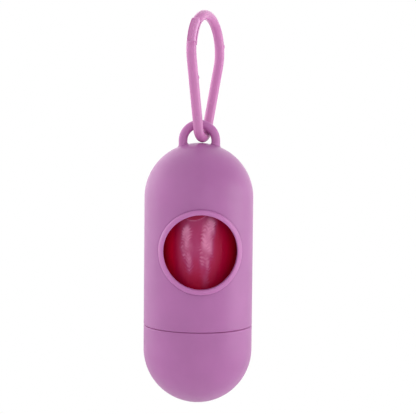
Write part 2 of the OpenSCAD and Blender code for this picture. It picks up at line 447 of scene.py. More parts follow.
def proud_painted_light_share(points):
    """How far points stand out of the plain capsule: 1 on the rim and the eye, 0 on the walls. This
    places the painted light that makes the rim and the eye lighter than the walls.
    """
    flat = np.hypot(points[:, 0], points[:, 1])
    over = np.maximum(points[:, 2] - DOME_Z, 0)
    return smooth_step((np.hypot(flat, over) - CASE_R - 0.05) / 0.3)


# How far above the seam the spigot's foot still has the painted light that lightens the seam's
# crevice
CREVICE_REACH = 0.9


def crevice_painted_light_share(points):
    """How deep in the seam points lie: 1 on the spigot's foot, which the case's mouth hides.

    There a strong pink is painted light, which lightens the seam's dark crevice. With the cap
    unscrewed the foot comes into view, and this colour shows as a band."""
    inset_share = smooth_step((CASE_R - 0.1 - np.hypot(points[:, 0], points[:, 1])) / 0.3)
    height = np.abs(points[:, 2] - SEAM_Z)
    near = smooth_step((CREVICE_REACH - height) / 0.4)
    return inset_share * near * (points[:, 2] > SEAM_Z - SEAM_GAP - 0.4)


SEAM_ROUND = 0.32
DOME_ROWS = 26
LOW_ROWS = 15
# The plain wall ends this far outside the rim or the opening, and the crease starts here
WALL_CLEAR = 0.35
CREASE_START = 0.31


def case_shell():
    skin = Skin()
    # Outer wall, from the seam's rounded edge to the dome's last full ring
    seam = round_profile(
        [
            (MOUTH_R, MOUTH_TOP, 0),
            (MOUTH_R, SEAM_Z, 0.2),
            (CASE_R + 0.03, SEAM_Z, SEAM_ROUND),
            (CASE_R + 0.03, SEAM_Z + 0.9, 0.6),
            (CASE_R, SEAM_Z + 1.6, 0),
        ]
    )[1:]
    low = np.linspace(SEAM_Z + 1.6, PATCH_LOW, LOW_ROWS + 1)
    profile = list(seam) + [(CASE_R, z) for z in low[1:]]
    low_rows = revolve(skin, profile)
    heights = np.linspace(PATCH_LOW, PATCH_HIGH, PATCH_ROWS + 1)
    mid_rows = [low_rows[-1]] + [skin.add(ring_points(CASE_R, z)) for z in heights[1:]]
    mid = np.stack(mid_rows)
    first, last = PATCH_COLUMNS
    skin.quads(np.concatenate([mid[:, last:], mid[:, : first + 1]], axis=1))
    foot_ring, direction = window_patch(skin, mid, CASE_R, WINDOW_R + RIM_W + WALL_CLEAR)
    crease_start = rim_ring(direction, WINDOW_R + RIM_W + CREASE_START, 0.0)
    rings = [foot_ring, skin.add(crease_start)]
    for distance, height in rim_profile():
        rings.append(skin.add(rim_ring(direction, distance, height)))
    skin.quads(np.stack(rings), wrap=True)
    top_angle = math.acos(TOP_PLAN_R / CASE_R)
    dome = sphere_profile(CASE_R, DOME_Z, 0, top_angle, DOME_ROWS)
    dome_rows = [mid_rows[-1]] + [skin.add(ring_points(r, z)) for r, z in dome[1:]]
    skin.quads(np.stack(dome_rows), wrap=True)
    dome_top(skin, dome_rows[-1])
    # Inner wall, from the window's inner edge out to the bore, the dome's inside and the mouth
    inner_mid = np.stack([skin.add(ring_points(INNER_R, z)) for z in heights])
    skin.quads(np.concatenate([inner_mid[:, last:], inner_mid[:, : first + 1]], axis=1))
    inner_foot, _ = window_patch(skin, inner_mid, INNER_R, WINDOW_R + WALL_CLEAR)
    skin.quads(np.stack([rings[-1], inner_foot]), wrap=True)
    inner_dome = sphere_profile(INNER_R, DOME_Z, 0, math.pi / 2, 24)
    inner_rows = [inner_mid[-1]] + [skin.add(ring_points(r, z)) for r, z in inner_dome[1:-1]]
    skin.quads(np.stack(inner_rows), wrap=True)
    tip = int(skin.add(np.array([[0.0, 0.0, DOME_Z + INNER_R]]))[0])
    skin.fan(inner_rows[-1], tip)
    mouth = round_profile(
        [
            (INNER_R, PATCH_LOW, 0),
            (INNER_R, MOUTH_TOP, 0.1),
            (MOUTH_R, MOUTH_TOP, 0.08),
            (MOUTH_R, SEAM_Z + 0.6, 0),
        ],
        steps=3,
    )
    mouth_rows = [inner_mid[0]] + [skin.add(ring_points(r, z)) for r, z in mouth[1:]]
    mouth_rows.append(low_rows[0])
    skin.quads(np.stack(mouth_rows), wrap=True)
    thread_ridges(skin, MOUTH_R, FEMALE_CREST_R, SEAM_Z + RIDGE_INSET + THREAD_PITCH / 2)
    return skin.piece("case_shell", shade=proud_painted_light_share(skin.points()))


# ---------------------------------------------------------------- cap
# Moulding-gate mark under the bowl
GATE_R = 1.3
GATE_DEPTH = 0.18


def cap_shell():
    skin = Skin()
    top = SEAM_Z - SEAM_GAP
    under = top - SHOULDER
    bottom_angle = -math.pi / 2 + GATE_R / CASE_R * 1.35
    bowl = sphere_profile(CASE_R, CAP_Z, bottom_angle, 0, 48)
    gate = [
        (0.0, GATE_DEPTH - 0.1),
        (0.35, GATE_DEPTH - 0.08),
        (0.5, GATE_DEPTH),
        (GATE_R * 0.9, GATE_DEPTH + 0.02),
        (GATE_R, GATE_DEPTH * 0.5 + 0.03),
        (GATE_R * 1.12, GATE_R**2 * 1.12**2 / (2 * CASE_R) + 0.005),
    ]
    outside = round_profile(
        [
            (CASE_R, CAP_Z, 0),
            (CASE_R, CAP_Z + 3, 0),
            (CASE_R, top - 1.6, 0),
            (CASE_R + 0.02, top - 0.9, 0.6),
            (CASE_R + 0.02, top, SEAM_ROUND),
            (NECK_R, top, 0.12),
            (NECK_R, NECK_TOP, 0.3),
            (NECK_BORE_R, NECK_TOP, 0.3),
            (NECK_BORE_R, under, 0.3),
            (INNER_R, under - (INNER_R - NECK_BORE_R), 0.3),
            (INNER_R, CAP_Z, 0),
        ]
    )
    inside = sphere_profile(INNER_R, CAP_Z, 0, -math.pi / 2, 40)
    profile = gate + [tuple(p) for p in bowl] + [tuple(p) for p in outside[1:]]
    profile += [tuple(p) for p in inside[1:-1]] + [(0.0, CAP_Z - INNER_R)]
    revolve(skin, profile)
    thread_ridges(skin, NECK_R, MALE_CREST_R, SEAM_Z + RIDGE_INSET)
    return skin.piece("cap_shell", shade=crevice_painted_light_share(skin.points()))


# ---------------------------------------------------------------- hook and gate
SECTION = 72
SECTION_ANGLES = 2 * math.pi * np.arange(SECTION) / SECTION
LEAN_ALONG = -BEND_CENTRE / MM - np.array([0, 0, CROWN_R - HOOK_BAR_R])
ALONG = LEAN_ALONG / np.linalg.norm(LEAN_ALONG)
NORMAL = HOOK_NORMAL / np.linalg.norm(HOOK_NORMAL)
ACROSS = np.cross(ALONG, NORMAL)
ARM = HOOK_REACH * math.cos(TAPER)
# Height of the bar's parting line
PARTING = 0.035
# The dressed bar is this much stouter than the CAD's round one
BAR_R = HOOK_BAR_R + 0.09


def hook_place(points):
    """From the hook's own plane (across, along the normal, along) to the CAD's frame."""
    axes = np.stack([ACROSS, NORMAL, ALONG])
    return BEND_CENTRE + (np.asarray(points, float) @ axes) * MM


def arc_frame(radius, centre_z, angle):
    """Middle of the bar and its outward direction on an arc."""
    out = np.array([math.cos(angle), math.sin(angle)])
    return np.array([0, centre_z]) + radius * out, out


def arm_frame(side, length):
    """The same on a straight arm, counted from the bend; side is -1 on the gate's arm."""
    out = np.array([side * math.cos(TAPER), -math.sin(TAPER)])
    along = np.array([side * math.sin(TAPER), math.cos(TAPER)])
    return BEND_R * out + along * length, out


def circle_section():
    """Round bar with a fine parting line along its outer and inner side."""
    r = np.full(SECTION, BAR_R)
    r[0] += PARTING
    r[SECTION // 2] += PARTING
    return np.stack([r * np.cos(SECTION_ANGLES), r * np.sin(SECTION_ANGLES)], axis=-1)


# How far the nose goes to the hook's painted light colour: a painted highlight on the nose beside
# the tongue
NOSE_PAINTED_LIGHT = 0.7
NOSE_DEEPER = 0.30
NOSE_WIDER = 0.07


def nose_section(growth):
    """Inner half of the bar, with a flat outer side; growth makes it stouter inwards."""
    p = circle_section()
    outer = np.cos(SECTION_ANGLES) > 0
    flat = -0.06 * np.abs(np.sin(SECTION_ANGLES)) ** 8
    p[outer, 0] = flat[outer]
    p[~outer, 0] *= 1 + NOSE_DEEPER * growth
    p[:, 1] *= 1 + NOSE_WIDER * growth
    return p


def shoulder_section():
    """Outer half of the bar, with a flat inner side, past the tongue's foot."""
    p = circle_section()
    inner = np.cos(SECTION_ANGLES) < 0
    p[:, 0] = np.maximum(p[:, 0], LAP_GAP)
    p[inner, 0] = LAP_GAP + 0.04 * np.cos(SECTION_ANGLES[inner])
    return p


# The tongue's under face over the bar's middle, its sides, and its outer face over the bar
TONGUE_UNDER = 0.07
TONGUE_RIGHT = 1.62
TONGUE_LEFT = 1.42
TONGUE_LOW_RISE = -0.22
TONGUE_HIGH_RISE = 0.22
TONGUE_CORNER = 0.36
TONGUE_LEFT_CORNER = 0.85
DISH = 0.40
DISH_RISE = 0.34
# The dished face leaves a wide strip on the side that faces right in the photo, and a thin one left
DISH_MIDDLE = -0.22
DISH_HALF = 1.0
DISH_FOOT = 0.12
DISH_TOP = 0.30
# How far the tongue's edges go to the painted light colour: painted highlights right of the dish,
# above it and left of it
RIGHT_PAINTED_HIGHLIGHT, TOP_PAINTED_HIGHLIGHT, LEFT_PAINTED_HIGHLIGHT = 0.8, 0.9, 0.35
# The same painted highlight on the shoulder's last two rings, the ledge under the tongue's foot
SHOULDER_PAINTED_HIGHLIGHT = (0.8, 1.0)
RIGHTWARD = 1.0 if NORMAL[0] > 0 else -1.0


def box_section(low, high):
    """A rounded box, its points spread evenly from the outer side's middle."""
    turn = np.linspace(0, math.pi / 2, 9)
    right, left = (TONGUE_RIGHT, TONGUE_CORNER), (TONGUE_LEFT, TONGUE_LEFT_CORNER)
    ahead, behind = (right, left) if RIGHTWARD > 0 else (left, right)
    corners = [
        (high, ahead[0], ahead[1]),
        (low, ahead[0], 0.2),
        (low, -behind[0], 0.2),
        (high, -behind[0], behind[1]),
    ]
    path = [[(high, 0.0)]]
    for k, (r, n, corner) in enumerate(corners):
        a = turn + k * math.pi / 2
        inward_r = math.copysign(corner, r - (low + high) / 2)
        middle = np.array([r - inward_r, n - math.copysign(corner, n)])
        path.append(middle + corner * np.stack([np.cos(a), np.sin(a)], axis=-1))
    path.append([(high, 0.0)])
    path = np.concatenate(path)
    run = np.concatenate([[0], np.cumsum(np.linalg.norm(np.diff(path, axis=0), axis=1))])
    even = np.arange(SECTION) / SECTION * run[-1]
    return np.stack([np.interp(even, run, path[:, 0]), np.interp(even, run, path[:, 1])], axis=-1)


def tongue_section(along, length):
    """The tongue at a distance from its foot: squared up, with a dished outer face."""
    rise = TONGUE_LOW_RISE + (TONGUE_HIGH_RISE - TONGUE_LOW_RISE) * (along / length)
    high = BAR_R + rise
    section = box_section(TONGUE_UNDER, high)
    r, n = section[:, 0], section[:, 1]
    across = (n * RIGHTWARD - DISH_MIDDLE) / DISH_HALF
    round_end = 1 - np.sqrt(np.clip(1 - across**2, 0, 1))
    from_foot = (along - DISH_FOOT - 0.9 * round_end) / DISH_RISE
    from_top = (length - along - DISH_TOP - 0.4 * round_end) / DISH_RISE
    from_side = (1 - np.abs(across)) * DISH_HALF / DISH_RISE
    depth = DISH * smooth_step(np.minimum(np.minimum(from_foot, from_top), from_side))
    on_face = smooth_step((r - high + TONGUE_CORNER) / TONGUE_CORNER)
    # Painted highlights on the edges beside and above the dish, most of all on the side that faces
    # right
    right = smooth_step((n * RIGHTWARD - 0.95) / 0.35) * smooth_step(along / 0.3)
    top = smooth_step((along - length + DISH_TOP + DISH_RISE) / DISH_RISE)
    left = smooth_step((-n * RIGHTWARD - 0.95) / 0.2)
    share = np.maximum(RIGHT_PAINTED_HIGHLIGHT * right, np.maximum(TOP_PAINTED_HIGHLIGHT * top, LEFT_PAINTED_HIGHLIGHT * left))
    return np.stack([r - depth * on_face, n], axis=-1), share


def inset(section, depth):
    """The section drawn in by a depth, towards its middle."""
    middle = (section.max(0) + section.min(0)) / 2
    size = np.abs(section - middle).max(0)
    return middle + (section - middle) * (1 - depth / size)


class Sweep:
    """A bar in the hook's plane: sections placed one after another on a path."""

    def __init__(self):
        self.skin = Skin()
        self.rings = []
        self.shades = []

    def put(self, place, section, shade=0.0):
        middle, out = place
        flat = middle + section[:, :1] * out
        points = np.stack([flat[:, 0], section[:, 1], flat[:, 1]], axis=-1)
        self.rings.append(self.skin.add(points))
        self.shades.append(np.ones(len(section)) * shade)

    def close(self, ring, reverse):
        """Closes an end with a shrunken ring and a fan."""
        points = np.concatenate(self.skin.blocks)[ring]
        middle = points.mean(0)
        tip = int(self.skin.add(middle[None])[0])
        order = ring[::-1] if reverse else ring
        self.skin.fan(order, tip)

    def piece(self, name, smooth_angle):
        self.skin.quads(np.stack(self.rings), wrap=True)
        self.close(self.rings[0], True)
        self.close(self.rings[-1], False)
        shade = np.concatenate([*self.shades, self.shades[0][:1], self.shades[-1][:1]])
        return self.skin.piece(name, place=hook_place, smooth_angle=smooth_angle, shade=shade)


# Where the gate's piece meets the hook's, on the straight arm under the flexure
JUNCTION = 3.6
# Rounding of the lap's edges, and of the tongue's end
EDGE = 0.22
TONGUE_EDGE = 0.52
# Angle round the bar, from its outer side, of the direction that faces right in the photo
RIGHT_OF_FAR_ARM = math.atan2(NORMAL[0], ACROSS[0])
RIGHT_OF_GATE_ARM = math.atan2(NORMAL[0], -ACROSS[0])
NOSE_END = math.radians(178.4)
# Mould marks: on the crown, as an angle, and on the gate's arm, as a distance from the bend
FAR_MARK = math.radians(15.5)
GATE_MARK = ARM - 6.5
MARK_HALF = 0.55
MARK_HEIGHT = 0.22
MARK_TURN = 0.45


def bumped(section, amount, where):
    """The section with a small mould mark at an angle."""
    d = np.angle(np.exp(1j * (SECTION_ANGLES - where)))
    return section * (1 + amount / HOOK_BAR_R * np.exp(-((d / MARK_TURN) ** 2)))[:, None]


def mark(position, centre, half_length):
    """Height of a mould mark at a position along the arm."""
    x = (position - centre) / half_length
    return MARK_HEIGHT * math.exp(-(x**4))


def rounded_end(sweep, angle, towards, section, edge, shade=0.0):
    """Closes a bar on the crown at an angle, with a rounded edge; towards is its turning sense."""
    for t in np.linspace(0, math.pi / 2, 6)[1:]:
        back = edge * (1 - math.sin(t)) / CROWN_R
        place = arc_frame(CROWN_R, HOOK_REACH, angle - towards * back)
        sweep.put(place, inset(section, edge * (1 - math.cos(t))), shade)


def hook_bar_piece():
    sweep = Sweep()
    section = circle_section()
    for length in np.linspace(JUNCTION, 0, 8):
        sweep.put(arm_frame(-1, length), section)
    for a in np.linspace(math.pi + TAPER, 2 * math.pi - TAPER, 60)[1:-1]:
        sweep.put(arc_frame(BEND_R, 0, a), section)
    for length in np.linspace(0, ARM, 60):
        sweep.put(arm_frame(1, length), section)
    step = LAP_HIGH + LAP_GAP / CROWN_R
    edge = EDGE / CROWN_R
    for a in np.linspace(-TAPER, step - edge, 160)[1:]:
        height = mark(a, FAR_MARK, MARK_HALF / CROWN_R)
        sweep.put(arc_frame(CROWN_R, HOOK_REACH, a), bumped(section, height, RIGHT_OF_FAR_ARM))
    sweep.put(arc_frame(CROWN_R, HOOK_REACH, step - 0.3 * edge), inset(section, 0.06))
    sweep.put(arc_frame(CROWN_R, HOOK_REACH, step), inset(section, EDGE))
    for a in np.linspace(step, NOSE_END - edge, 48):
        growth = smooth_step((a - step) / (0.6 * (NOSE_END - step)))
        sweep.put(arc_frame(CROWN_R, HOOK_REACH, a), nose_section(growth), NOSE_PAINTED_LIGHT * growth)
    rounded_end(sweep, NOSE_END, 1, nose_section(1.0), EDGE, NOSE_PAINTED_LIGHT)
    return sweep.piece("hook_bar", 50.0)


def gate_arm_piece():
    sweep = Sweep()
    section = circle_section()
    for length in np.linspace(JUNCTION, ARM, 90):
        height = mark(length, GATE_MARK, MARK_HALF)
        sweep.put(arm_frame(-1, length), bumped(section, height, RIGHT_OF_GATE_ARM))
    edge = EDGE / CROWN_R
    heel = NOSE_END + 2 * LAP_GAP / CROWN_R
    for a in np.linspace(math.pi + TAPER, heel + edge, 24)[1:]:
        sweep.put(arc_frame(CROWN_R, HOOK_REACH, a), section)
    shoulder = shoulder_section()
    for a in np.linspace(heel, LAP_LOW + edge, 8):
        sweep.put(arc_frame(CROWN_R, HOOK_REACH, a), shoulder)
    for past, depth, thin in ((0.3, 0.05, SHOULDER_PAINTED_HIGHLIGHT[0]), (0.0, 0.16, SHOULDER_PAINTED_HIGHLIGHT[1])):
        place = arc_frame(CROWN_R, HOOK_REACH, LAP_LOW + past * edge)
        sweep.put(place, inset(shoulder, depth), thin)
    length = CROWN_R * (LAP_LOW - LAP_HIGH)
    for along in np.linspace(0, length - TONGUE_EDGE, 90):
        place = arc_frame(CROWN_R, HOOK_REACH, LAP_LOW - along / CROWN_R)
        sweep.put(place, *tongue_section(along, length))
    end_section, _ = tongue_section(length, length)
    rounded_end(sweep, LAP_HIGH, -1, end_section, TONGUE_EDGE, TOP_PAINTED_HIGHLIGHT)
    return sweep.piece("gate_arm", 50.0)


# ---------------------------------------------------------------- the roll's outer film
FILM_COLUMNS = 420
FILM_ROWS = 190
FILM_INNER_R = 14.13


def ridge_line(distance, width):
    return np.exp(-((distance / width) ** 2))


def noise_grid(s, z, scale, seed):
    """Smooth noise on the film that closes round the roll."""
    turn = s / ROLL_R
    out = np.empty(s.shape)
    for index in np.ndindex(s.shape):
        t = turn[index]
        place = (math.sin(t) * ROLL_R, math.cos(t) * ROLL_R, z[index])
        out[index] = noise.noise(Vector((place[0], place[1], place[2] + seed)) * scale)
    return out


# Two leaf-shaped milky patches, partly air trapped between the layers and partly a painted
# reflection: heights over the window's middle, the place of the left edge, of the right edge and of
# the spine, along the film
LEAVES = [
    ([-9.0, -4.0, 1.0, 6.0, 10.0], [-3.7, -4.8, -6.7, -6.3, -4.9], [-3.1, -2.8, -3.0, -3.2, -4.5],
     [-3.4, -3.8, -4.2, -4.4, -4.7]),
    ([-13.5, -4.6, 2.0, 9.0, 12.4], [1.0, 0.1, 0.3, 0.9, 2.0], [2.2, 2.9, 4.3, 5.4, 5.0],
     [1.6, 1.4, 2.0, 2.8, 3.2]),
]
# Upright folds: (place along the film, width, height)
FOLDS = [
    (-4.6, 1.3, 0.07),
    (2.2, 1.7, 0.09),
    (-18.5, 1.2, 0.12),
    (19.0, 1.0, 0.12),
    (24.0, 1.1, 0.15),
    (-24.0, 1.0, 0.14),
    (30.0, 1.2, 0.16),
    (-30.0, 1.1, 0.15),
    (38.0, 1.0, 0.14),
    (-39.0, 1.2, 0.14),
]
LEAF_SOFT = 1.8
CREASE_PITCH = 1.15
# A painted sheen: a milky band in the window's middle, fading towards the bottom
MIDDLE_PAINTED_SHEEN = 0.36
# The clear film's share; it falls to none towards the window's sides, where the film takes a
# painted glow
CLEAR = 0.08
# Height of the slow, fine and tiny unevenness of the film
UNEVEN = (0.07, 0.04, 0.015)
# The film's end over the window's middle: height, curve, and where it is lowest along the film
FILM_END_Z = 10.1
FILM_END_CURVE = 0.10
FILM_END_LOWEST = -2.4
# Rounded ends of the film's tube: (share of the way to the inner wall, rise)
FILM_ROUND = ((0.35, 0.18), (0.7, 0.25), (1.0, 0.15))


def leaf_patterns(s, z, wander, patches):
    """How much each point lies in a leaf, and the creases that fan up and out from its spine."""
    inside = np.zeros(s.shape)
    creases = np.zeros(s.shape)
    for heights, left, right, spine in LEAVES:
        x = s - 0.35 * wander
        off_spine = np.abs(x - np.interp(z, heights, spine))
        v = z - 0.85 * off_spine + 0.12 * off_spine**2 + 2.6 * wander
        wave = 0.5 + 0.5 * np.cos(2 * math.pi * v / CREASE_PITCH)
        barb = 0.9 * (wave - 0.5) * patches
        from_left = (x - np.interp(z, heights, left) + barb) / LEAF_SOFT + 0.5
        from_right = (np.interp(z, heights, right) - x + barb) / LEAF_SOFT + 0.5
        from_ends = np.minimum(z - heights[0], heights[-1] - z) / 3.0
        share = smooth_step(from_left) * smooth_step(from_right) * smooth_step(from_ends)
        near = np.exp(-((off_spine / 3.2) ** 4))
        creases += wave**1.5 * near * smooth_step(from_ends) * patches
        inside = np.maximum(inside, share)
    return inside, creases


def film_end(turns, edge_r, height, rising):
    """Rings that round off an end of the film's tube; rising is 1 at the top and -1 below."""
    rings = []
    for inward, rise in FILM_ROUND:
        ring_r = edge_r + (FILM_INNER_R - edge_r) * inward
        rings.append(cylinder_point(ring_r, turns, np.full(FILM_COLUMNS, height + rising * rise)))
    return rings


def film_wrap():
    skin = Skin()
    turns = -math.pi + 2 * math.pi * np.arange(FILM_COLUMNS) / FILM_COLUMNS
    heights = np.linspace(ROLL_LOW + 0.25, ROLL_HIGH - 0.25, FILM_ROWS)
    grid_t, grid_z = np.meshgrid(turns, heights)
    s = grid_t * ROLL_R
    z = grid_z - WINDOW_Z
    slow = noise_grid(s, grid_z * 0.35, 0.16, 3.0)
    fine = noise_grid(s, grid_z * 0.5, 0.6, 9.0)
    tiny = noise_grid(s, grid_z, 1.5, 21.0)
    # Upright folds where the flat film was wound up folded
    wander = 0.8 * slow
    h = UNEVEN[0] * slow + UNEVEN[1] * fine + UNEVEN[2] * tiny
    folds = np.zeros(s.shape)
    for centre, width, height in FOLDS:
        line = centre + wander * 1.4 + 0.02 * z
        h += height * ridge_line(s - line, width)
        folds += ridge_line(s - line, width * 1.5)
    patches = np.clip(0.5 + 1.8 * noise_grid(s, grid_z * 0.7, 0.55, 33.0), 0, 1)
    inside, creases = leaf_patterns(s, z, slow + 0.45 * fine + 0.15 * tiny, patches)
    h += 0.06 * inside + 0.03 * creases * (0.35 + 0.65 * inside)
    # The film's end: a curved edge of one more layer above the window's middle
    edge = FILM_END_Z + FILM_END_CURVE * (s - FILM_END_LOWEST) ** 2 + 0.25 * slow
    over_edge = smooth_step((z - edge) / 0.25 + 0.5)
    seen = ridge_line(s + 1.5, 6.5)
    h += 0.12 * over_edge * seen
    # Milky where air lies between the layers; in the window's middle a painted sheen, in the leaves
    # a painted reflection lighter towards the top; deep and clear elsewhere, with a painted glow
    # towards the window's sides
    middle = MIDDLE_PAINTED_SHEEN * np.exp(-(np.abs((s + 1.1) / 6.2) ** 4)) * smooth_step((z + 12.0) / 13.0)
    # The leaves' painted reflection is lighter towards the top
    leaf_level = np.clip(0.92 + 0.04 * z, 0.55, 1.25) * (0.34 + 0.16 * creases + 0.35 * fine)
    streaks = np.clip(0.5 * (creases - 0.4), 0, 1) * 0.30
    milk_and_painted_light = CLEAR * (1 - smooth_step((np.abs(s - 0.6) - 7.4) / 6.0)) + middle * (1 + 0.2 * fine)
    milk_and_painted_light += inside * leaf_level + streaks * middle
    # Round the back the film lies as it does in front, with folds of its own
    behind = smooth_step((np.abs(s) - 15.0) / 3.0)
    milk_and_painted_light += behind * (1.4 * CLEAR + 0.05 * fine + 0.22 * np.clip(folds, 0, 1))
    milk_and_painted_light *= 1 - 0.55 * over_edge * seen
    milk_and_painted_light += 0.35 * ridge_line(z - edge, 0.18) * seen
    r = np.clip(ROLL_R - 0.22 + h, FILM_INNER_R + 0.04, ROLL_R + 0.12)
    outer = skin.add(cylinder_point(r, grid_t, grid_z))
    skin.quads(outer, wrap=True)
    rows = [outer[-1]]
    rows += [skin.add(ring) for ring in film_end(turns, r[-1], heights[-1], 1)]
    rows += [skin.add(ring) for ring in reversed(film_end(turns, r[0], heights[0], -1))]
    rows.append(outer[0])
    skin.quads(np.stack(rows), wrap=True)
    shade = np.zeros(skin.count)
    shade[outer.ravel()] = np.clip(milk_and_painted_light, 0, 1).ravel()
    return skin.piece("film_wrap", smooth_angle=70.0, shade=shade)


# ---------------------------------------------------------------- materials
def principled(name):
    material = bpy.data.materials.new(name)
    material.use_nodes = True
    shader = next(n for n in material.node_tree.nodes if n.type == "BSDF_PRINCIPLED")
    return material, material.node_tree, shader


def node(tree, kind, **values):
    made = tree.nodes.new(kind)
    for key, value in values.items():
        if key in made.inputs.keys():
            made.inputs[key].default_value = value
        else:
            setattr(made, key, value)
    return made


def math_node(tree, operation, first, *rest):
    """A Math node; each input is an output socket or a number."""
    made = node(tree, "ShaderNodeMath", operation=operation)
    for socket, value in zip(made.inputs, (first, *rest)):
        if isinstance(value, (int, float)):
            socket.default_value = value
        else:
            tree.links.new(value, socket)
    return made.outputs[0]


def noise_texture(tree, scale, detail=2.0, roughness=0.5, stretch=None):
    coordinates = node(tree, "ShaderNodeTexCoord")
    texture = node(tree, "ShaderNodeTexNoise", Scale=scale, Detail=detail, Roughness=roughness)
    source = coordinates.outputs["Object"]
    if stretch is not None:
        mapping = node(tree, "ShaderNodeMapping")
        mapping.inputs["Scale"].default_value = stretch
        tree.links.new(source, mapping.inputs["Vector"])
        source = mapping.outputs["Vector"]
    tree.links.new(source, texture.inputs["Vector"])
    return texture.outputs["Fac"]


def shade_value(tree):
    """The value that the mesh carries on its points, which places painted light, milk and painted
    sheen.
    """
    made = node(tree, "ShaderNodeAttribute")
    made.attribute_name = "shade"
    return made.outputs["Fac"]


def mixed(tree, share, first, second):
    """One colour shading into another; each is an output socket or a colour."""
    made = node(tree, "ShaderNodeMix")
    made.data_type = "RGBA"
    sockets = [s for s in made.inputs if s.type == "RGBA"]
    factor = next(s for s in made.inputs if s.type == "VALUE")
    tree.links.new(share, factor)
    for socket, value in zip(sockets, (first, second)):
        if isinstance(value, tuple):
            socket.default_value = (*value, 1.0)
        else:
            tree.links.new(value, socket)
    return next(s for s in made.outputs if s.type == "RGBA")


def ramp(tree, source, stops):
    made = node(tree, "ShaderNodeValToRGB")
    elements = made.color_ramp.elements
    while len(elements) < len(stops):
        elements.new(0.5)
    for element, (position, colour) in zip(elements, stops):
        element.position = position
        element.color = (*colour, 1.0)
    tree.links.new(source, made.inputs["Fac"])
    return made.outputs["Color"]


def spread(tree, source, low, high):
    """Maps a noise value from its usual span to low..high."""
    made = node(tree, "ShaderNodeMapRange")
    spans = {"From Min": 0.3, "From Max": 0.7, "To Min": low, "To Max": high}
    for key, value in spans.items():
        made.inputs[key].default_value = value
    tree.links.new(source, made.inputs["Value"])
    return made.outputs["Result"]


def bump(tree, shader, layers):
    """Chained bumps: (source, strength, distance in metres)."""
    last = None
    for source, strength, distance in layers:
        made = node(tree, "ShaderNodeBump", Strength=strength, Distance=distance)
        tree.links.new(source, made.inputs["Height"])
        if last is not None:
            tree.links.new(last, made.inputs["Normal"])
        last = made.outputs["Normal"]
    tree.links.new(last, shader.inputs["Normal"])


def plastic(name, colour, roughness, painted_light_colour):
    """Satin moulded plastic: a fine grain, faint flow marks and slightly uneven gloss.

    It turns to its painted light colour where the mesh's shade is 1. That is painted light in place
    of light
    coming through: lighter on the case's rim and eye, painted highlights on the hook's thin edges
    and a painted glow in the seam's crevice at the cap's foot."""
    material, tree, shader = principled(name)
    dark = tuple(c * 0.955 for c in colour)
    light = tuple(min(1.0, c * 1.045) for c in colour)
    cloud = noise_texture(tree, 90.0, 3.0)
    colour_out = ramp(tree, cloud, [(0.3, dark), (0.7, light)])
    colour_out = mixed(tree, shade_value(tree), colour_out, painted_light_colour)
    tree.links.new(colour_out, shader.inputs["Base Color"])
    gloss = noise_texture(tree, 260.0, 3.0, 0.6)
    rough = spread(tree, gloss, roughness - 0.035, roughness + 0.035)
    tree.links.new(rough, shader.inputs["Roughness"])
    grain = noise_texture(tree, 2600.0, 2.0)
    flow = noise_texture(tree, 160.0, 2.0, 0.5, (1.0, 1.0, 0.35))
    bump(tree, shader, [(flow, 0.10, 0.0003), (grain, 0.03, 0.00006)])
    shader.inputs["Specular IOR Level"].default_value = 0.5
    shader.inputs["Subsurface Weight"].default_value = 0.12
    shader.inputs["Subsurface Radius"].default_value = (1.0, 0.35, 0.7)
    shader.inputs["Subsurface Scale"].default_value = 0.0012
    return material


# Of the film's five colours, the first two are a painted glow: a lighter red towards the window's
# sides, where the case's wall shades the film. The third is the film's own deep colour, and the
# fourth and fifth are milky film with painted sheen and reflection.
FILM_PAINTED_GLOW = (0.76, 0.0010, 0.033)
FILM_PAINTED_EDGE_GLOW = (0.58, 0.0008, 0.027)
FILM_DEEP = (0.38, 0.0010, 0.034)
FILM_HALF = (0.40, 0.046, 0.142)
FILM_MILK_AND_SHEEN = (0.69, 0.230, 0.40)
WOUND_DARK = (0.24, 0.004, 0.035)
WOUND_LIGHT = (0.50, 0.03, 0.12)
CARD_COLOURS = ((0.30, 0.22, 0.14), (0.44, 0.34, 0.23), (0.56, 0.46, 0.34))


def film_material(name):
    """Thin glossy film: deep and clear where it lies tight, milky where it doesn't, with painted
    sheen and reflection in the window's middle and a painted glow towards its sides.
    """
    material, tree, shader = principled(name)
    streak = noise_texture(tree, 420.0, 3.0, 0.6, (1.0, 1.0, 0.12))
    share = math_node(tree, "MULTIPLY_ADD", streak, 0.03, -0.015)
    share = math_node(tree, "ADD", share, shade_value(tree))
    stops = [(0.0, FILM_PAINTED_GLOW), (0.4 * CLEAR, FILM_PAINTED_EDGE_GLOW), (1.2 * CLEAR, FILM_DEEP)]
    stops += [(0.47, FILM_HALF), (0.95, FILM_MILK_AND_SHEEN)]
    tree.links.new(ramp(tree, share, stops), shader.inputs["Base Color"])
    rough = spread(tree, noise_texture(tree, 500.0, 2.0), 0.28, 0.40)
    tree.links.new(rough, shader.inputs["Roughness"])
    crinkle = noise_texture(tree, 900.0, 3.0, 0.6, (1.0, 1.0, 0.45))
    bump(tree, shader, [(streak, 0.20, 0.0003), (crinkle, 0.20, 0.0001)])
    shader.inputs["Specular IOR Level"].default_value = 0.2
    shader.inputs["Specular Tint"].default_value = (1.0, 0.6, 0.95, 1.0)
    return material


def wound_film_material(name):
    """The roll's inner layers, which show their edges as fine rings."""
    material, tree, shader = principled(name)
    layers = noise_texture(tree, 1400.0, 2.0, 0.5, (1.0, 1.0, 0.05))
    colour_out = ramp(tree, layers, [(0.3, WOUND_DARK), (0.7, WOUND_LIGHT)])
    tree.links.new(colour_out, shader.inputs["Base Color"])
    rough = spread(tree, layers, 0.3, 0.45)
    tree.links.new(rough, shader.inputs["Roughness"])
    bump(tree, shader, [(layers, 0.5, 0.0002)])
    return material


